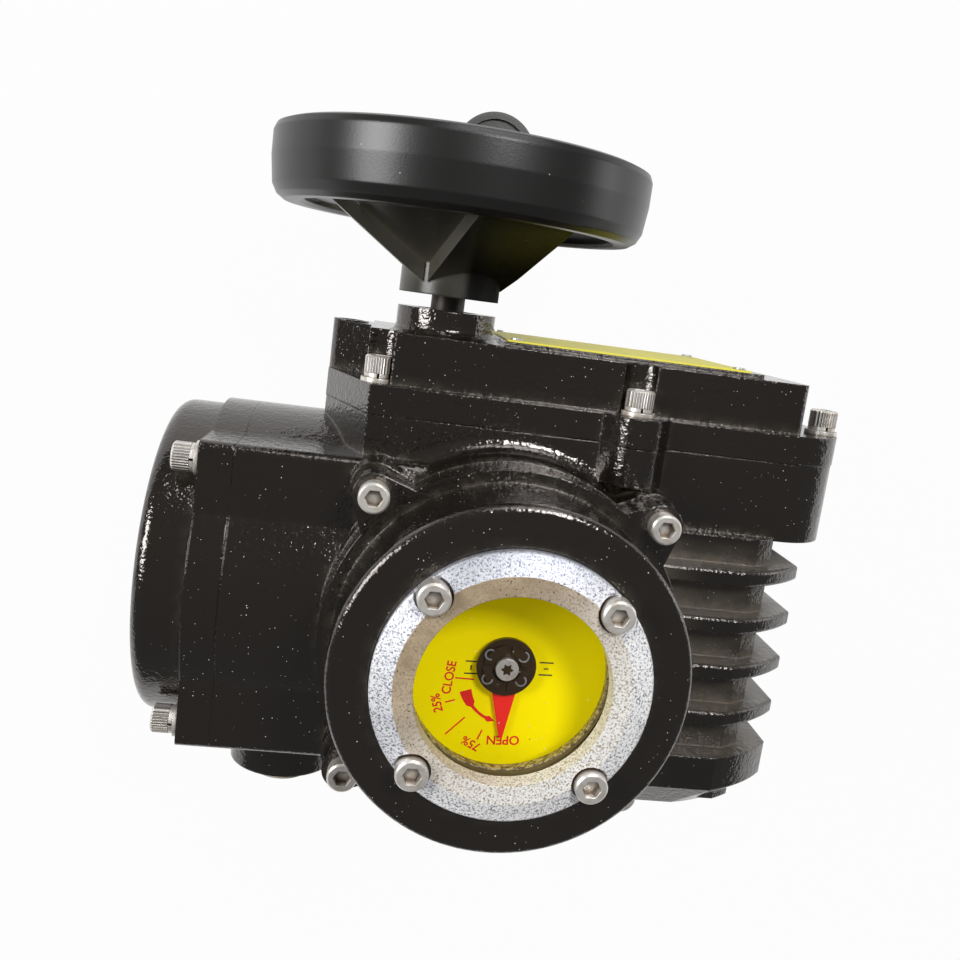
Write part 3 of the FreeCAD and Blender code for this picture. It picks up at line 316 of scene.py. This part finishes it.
def moulded(name, colour, roughness, bump=0.5):
    """Moulded plastic or rubber with a fine skin and slight change of tone."""
    f = Finish(name)
    skin = f.noise(1400.0, 2.0)
    tone = f.noise(70.0, 3.0)
    pale = tuple(min(c * 1.15 + 0.002, 1.0) for c in colour)
    mixed = f.blend(tone.above(0.5, 0.25), rgb(*colour), rgb(*pale))
    normal = f.bump(skin, fine_grain, bump)
    return f.feed(Base_Color=mixed, Roughness=tone * 0.1 + roughness, Normal=normal)


def dial_yellow():
    """Yellow dial sheet with a few dark specks; a faint glow, painted light, keeps it evenly bright."""
    # Painted light: the dial glows faintly so that the recess round it doesn't shade it
    f = Finish("yellow_dial", Specular_IOR_Level=0.05, Emission_Color=rgb(0.93, 0.76, 0.0),
               Emission_Strength=0.2)
    dots = f.specks(260.0, 0.09, 0.05)
    tone = f.noise(25.0, 2.0)
    colour = f.blend(tone.above(0.5, 0.3), rgb(0.81, 0.67, 0.0), rgb(0.85, 0.72, 0.0))
    colour = f.blend(dots, colour, rgb(0.05, 0.04, 0.02))
    return f.feed(Base_Color=colour, Roughness=tone * 0.1 + 0.5)


def clear_glass():
    """Flat window glass, a little dusty."""
    f = Finish("window_clear", Roughness=0.03, IOR=1.5, Specular_IOR_Level=0.2)
    dust = f.specks(500.0, 0.12, 0.06)
    f.material.surface_render_method = "BLENDED"
    colour = f.blend(dust, rgb(0.03, 0.03, 0.03), rgb(0.6, 0.58, 0.5))
    return f.feed(Base_Color=colour, Alpha=dust * 0.5 + 0.02)


paint = cast_paint("cast_black_paint")
satin = wheel_paint()
steel = screw_steel("screw_steel")
lid_screws = screw_steel("knurled_lid_screws", 0, 1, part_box("gear_cover_screws")[1][1])
cap_screws = screw_steel("knurled_cap_screws", 1, 0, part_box("end_cover_screws")[0][0])
shaft_steel = bare_metal("dark_shaft_steel", (0.06, 0.055, 0.05), 0.4)
plain_steel = bare_metal("plain_steel", (0.45, 0.45, 0.46), 0.35)
bronze = bare_metal("bronze", (0.62, 0.40, 0.17), 0.3)
aluminium = bare_metal("machined_aluminium", (0.7, 0.7, 0.71), 0.32)
copper = bare_metal("lacquered_copper", (0.5, 0.2, 0.08), 0.3)
iron = bare_metal("grey_iron", (0.18, 0.18, 0.18), 0.5)
rubber = moulded("black_rubber", (0.012, 0.012, 0.012), 0.6)
gasket = moulded("gritty_gasket", (0.10, 0.075, 0.03), 0.5)
grip_plastic = moulded("grip_plastic", (0.03, 0.029, 0.028), 0.3, 1.5)
black_plastic = moulded("black_plastic", (0.02, 0.02, 0.022), 0.35)
white_plastic = moulded("white_plastic", (0.75, 0.75, 0.7), 0.35)
red_plastic = moulded("red_plastic", (0.55, 0.03, 0.02), 0.35)
green_plastic = moulded("green_plastic", (0.03, 0.16, 0.06), 0.4)
beige_plastic = moulded("beige_plastic", (0.62, 0.56, 0.45), 0.45)
red_paint = moulded("red_paint", (0.80, 0.012, 0.006), 0.5)
hub_brown = moulded("dark_brown_hub", (0.03, 0.016, 0.005), 0.25)
plate_yellow = moulded("plate_yellow", (0.62, 0.56, 0.05), 0.45)

# Nodes that aren't named here are plain steel
finishes = {
    "main_housing": paint, "gear_cover": paint, "end_cover": paint,
    # The dial cover's paint carries a painted reflection of the yellow dial on the wall round it
    "dial_cover": cast_paint("cast_black_dial_reflection", True),
    "handwheel": satin, "handle_grip": grip_plastic,
    "window_ring": cast_ring(), "window_glass": clear_glass(), "window_gasket": gasket,
    "dial_plate": dial_yellow(), "nameplate": plate_yellow, "pointer": red_paint, "pointer_hub": hub_brown,
    "gear_cover_screws": lid_screws, "end_cover_screws": cap_screws,
    "ring_screws": steel, "dial_cover_screws": steel, "hub_screw": steel,
    "flat_washers": steel, "spring_washers": steel,
    "dial_cover_seal": rubber, "end_cover_seal": rubber, "output_seal": rubber, "shaft_seal": rubber,
    "output_bushes": bronze, "shaft_bush": bronze, "worm_wheel": bronze, "dial_posts": bronze,
    "worm_shaft": shaft_steel, "shaft_carrier": iron,
    "cam_open": white_plastic, "cam_close": red_plastic, "limit_switches": black_plastic,
    "terminal_block": green_plastic, "terminal_screws": bronze, "capacitor": aluminium,
    "motor_coils": copper, "motor_shields": aluminium, "nameplate_rivets": aluminium,
    "entry_plug": beige_plastic,
}
for name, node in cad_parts.items():
    node.data.materials.clear()
    node.data.materials.append(finishes.get(name, plain_steel))


def show(name, data):
    """An object for a mesh, lamp or camera, linked to the scene."""
    made = bpy.data.objects.new(name, data)
    bpy.context.collection.objects.link(made)
    return made


def piece(name, points, faces, finish, body):
    """A mesh from points in millimetres and faces, riding on a body."""
    mesh = bpy.data.meshes.new(name)
    mesh.from_pydata((np.asarray(points) * MM).tolist(), [], faces)
    mesh.materials.append(finish)
    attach(show(name, mesh), body)


def stroke(name, line, widths, finish, body="base", height=dial_face + print_height):
    """Flat ribbon: each point of a line moves half the width there to both sides, square to the line."""
    line = np.asarray(line, float)
    widths = np.broadcast_to(np.asarray(widths, float), len(line))
    run = np.gradient(line, axis=0)
    run /= np.linalg.norm(run, axis=1)[:, None]
    side = np.stack([-run[:, 1], run[:, 0]], axis=1) * widths[:, None] / 2
    flat = np.concatenate([line + side, line - side])
    points = np.column_stack([flat, np.full(len(flat), height)])
    count = len(line)
    faces = [(k, k + count, k + count + 1, k + 1) for k in range(count - 1)]
    piece(name, points, faces, finish, body)


def lettering(name, words, size, place, turn, squeeze):
    """Plain red lettering on the dial, as a flat mesh.

    It is turned by degrees about its middle, and squeezed along the line of writing. Its strokes are
    thickened by a fiftieth of its size.
    """
    curve = bpy.data.curves.new(name, "FONT")
    curve.body = words
    curve.size = size
    curve.align_x = "CENTER"
    curve.align_y = "CENTER"
    curve.offset = 0.02 * size
    shown = bpy.data.objects.new(name + "_curve", curve)
    mesh = bpy.data.meshes.new_from_object(shown)
    bpy.data.objects.remove(shown)
    points = np.empty(len(mesh.vertices) * 3)
    mesh.vertices.foreach_get("co", points)
    points = points.reshape(-1, 3)
    cos, sin = math.cos(math.radians(turn)), math.sin(math.radians(turn))
    x = points[:, 0] * squeeze * cos - points[:, 1] * sin + place[0]
    y = points[:, 0] * squeeze * sin + points[:, 1] * cos + place[1]
    laid = np.column_stack([x, y, np.full(len(points), dial_face + print_height)])
    mesh.vertices.foreach_set("co", (laid * MM).ravel())
    mesh.materials.clear()
    mesh.materials.append(red_paint)
    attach(show(name, mesh), "base")


lettering("word_close", "CLOSE", 4.1, (-17.0, -6.4), 86, 0.92)
lettering("word_open", "OPEN", 4.3, (2.7, -25.9), 184, 0.96)
lettering("mark_25", "25%", 4.1, (-19.8, -15.2), 108, 0.92)
lettering("mark_75", "75%", 4.1, (-7.4, -27.9), 155, 0.92)
stroke("tick_close", [(-15.2, -6.3), (-9.2, -6.3)], tick_width, red_paint)
stroke("tick_25", [(-17.3, -14.7), (-14.3, -13.6)], tick_width, red_paint)
stroke("tick_50", [(-16.0, -25.5), (-10.4, -19.2)], tick_width, red_paint)
stroke("tick_75", [(-4.4, -23.1), (-5.6, -26.5)], tick_width, red_paint)

# The arrow runs along an oval arc: a broad tail, a thin shaft from point 5 to 10, then a head down to its tip
arc_steps = 14
arc = np.radians(np.linspace(200, 262, arc_steps))
arrow_line = np.stack([1.0 + 13.2 * np.cos(arc), -5.2 + 14.6 * np.sin(arc)], axis=1)
arrow_widths = np.interp(np.arange(arc_steps), [0, 4, 5, 10, 10.01, 13], [3.9, 3.0, 1.0, 0.9, 3.2, 0.05])
stroke("turn_arrow", arrow_line, arrow_widths, red_paint)

for name, line in (("bar_left_top", [(-12.6, -0.4), (-8.5, -0.3)]),
                   ("bar_left_low", [(-12.6, -4.5), (-8.4, -4.3)]),
                   ("bar_left_mid", [(-10.6, -1.6), (-10.6, -3.3)]),
                   ("bar_right_top", [(10.9, 1.2), (15.4, 1.4)]),
                   ("bar_right_mid", [(12.5, -0.8), (14.0, -0.7)]),
                   ("bar_right_low", [(11.1, -2.9), (15.5, -2.7)])):
    stroke(name, line, bar_width, rubber)


def arc_line(centre, radius, start, end):
    """Sixteen points along an arc, between two angles in degrees."""
    angle = np.radians(np.linspace(start, end, 16))
    return np.stack([centre[0] + radius * np.cos(angle), centre[1] + radius * np.sin(angle)], axis=1)


# Four dimples on the hub, drawn only as painted highlights along their curved rims, and the painted shade of
# the star socket of its screw: twelve corners about a middle point
hub_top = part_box("pointer_hub")[1][2] / MM + mark_height
for name, centre, start in (("hub_dimple_glint_a", (-5.6, 4.0), 60), ("hub_dimple_glint_b", (4.8, 4.2), -150),
                            ("hub_dimple_glint_c", (-5.6, -4.0), 130), ("hub_dimple_glint_d", (5.0, -3.8), -170)):
    curl = arc_line(centre, dimple_radius, start, start + 230)
    stroke(name, curl, dimple_width, aluminium, "output", hub_top)
screw_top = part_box("hub_screw")[1][2] / MM + mark_height
corners = np.arange(12)
star = np.radians(corners * 30.0)
star_reach = np.where(corners % 2, 1.25, 2.1)
star_line = np.stack([star_reach * np.cos(star), star_reach * np.sin(star)], axis=1)
star_points = np.column_stack([np.vstack([star_line, [[0, 0]]]), np.full(13, screw_top)])
# Painted shade: a dark flat star stands in for the shaded star socket of the hub screw
piece("hub_star_shade", star_points, [(k, (k + 1) % 12, 12) for k in range(12)], hub_brown, "output")


def floor_finish():
    """Pale floor that keeps the shadow; white to the camera and to reflections."""
    f = Finish("pale_floor", Base_Color=rgb(0.35, 0.35, 0.35), Roughness=0.8)
    seen, mirrored, through = (f.add("ShaderNodeLightPath", {}, {}, flag)
                               for flag in ("Is Camera Ray", "Is Glossy Ray", "Is Transmission Ray"))
    bright = (seen + mirrored + through) * floor_white
    glow = f.add("ShaderNodeEmission", {}, {"Color": rgb(1, 1, 1), "Strength": 1.0}, "Emission")
    out = f.tree.nodes["Material Output"]
    surface = Signal(f, f.shader.outputs[0])
    mixed = f.add("ShaderNodeMixShader", {}, {0: bright, 1: surface, 2: glow}, 0)
    f.tree.links.new(mixed.socket, out.inputs["Surface"])
    return f.material


floor_mesh = bpy.data.meshes.new("floor")
floor_corners = [(x * floor_reach, y * floor_reach, 0) for x, y in ((-1, -1), (1, -1), (1, 1), (-1, 1))]
floor_mesh.from_pydata(floor_corners, [], [(0, 1, 2, 3)])
floor_mesh.materials.append(floor_finish())
floor = show("floor", floor_mesh)

# The sky is bright to the camera and weaker as a light
world = bpy.data.worlds.new("studio")
bpy.context.scene.world = world
world.use_nodes = True
sky = world.node_tree
background = sky.nodes["Background"]
background.inputs["Color"].default_value = rgb(1.0, 1.0, 1.0)
sight = sky.nodes.new("ShaderNodeLightPath")
level = sky.nodes.new("ShaderNodeMapRange")
level.inputs["To Min"].default_value = sky_light
level.inputs["To Max"].default_value = sky_seen
sky.links.new(sight.outputs["Is Camera Ray"], level.inputs["Value"])
sky.links.new(level.outputs["Result"], background.inputs["Strength"])


def softbox(name, place, size, power):
    """Flat lamp at a place in metres, turned to the aim, with its two sides in metres and power in watts."""
    lamp = bpy.data.lights.new(name, "AREA")
    lamp.shape = "RECTANGLE"
    lamp.size, lamp.size_y = size
    lamp.energy = power
    box = show(name, lamp)
    back = (place - lamp_aim) / np.linalg.norm(place - lamp_aim)
    side = np.cross(lamp_up, back)
    side /= np.linalg.norm(side)
    turned = np.column_stack([side, np.cross(back, side), back, place])
    box.matrix_world = Matrix([*turned.tolist(), (0, 0, 0, 1)])


softbox("left", (-0.93, 0.29, 0.76), (0.45, 0.58), 11.0)
softbox("front", (0.26, 0.55, 0.95), (0.25, 0.25), 6.8)
softbox("top", (0.15, 1.00, 0.62), (0.7, 0.2), 3.0)
softbox("right", (1.15, 0.25, 0.20), (0.35, 0.35), 1.0)

eye = bpy.data.cameras.new("photo_view")
eye.lens = camera_lens
eye.sensor_width = camera_sensor
eye.shift_x, eye.shift_y = camera_shift
camera = show("photo_view", eye)
camera.location = [c * MM for c in camera_place]
camera.rotation_euler = camera_turn
bpy.context.scene.camera = camera
bpy.context.scene.view_settings.view_transform = "Standard"

bpy.context.view_layer.update()
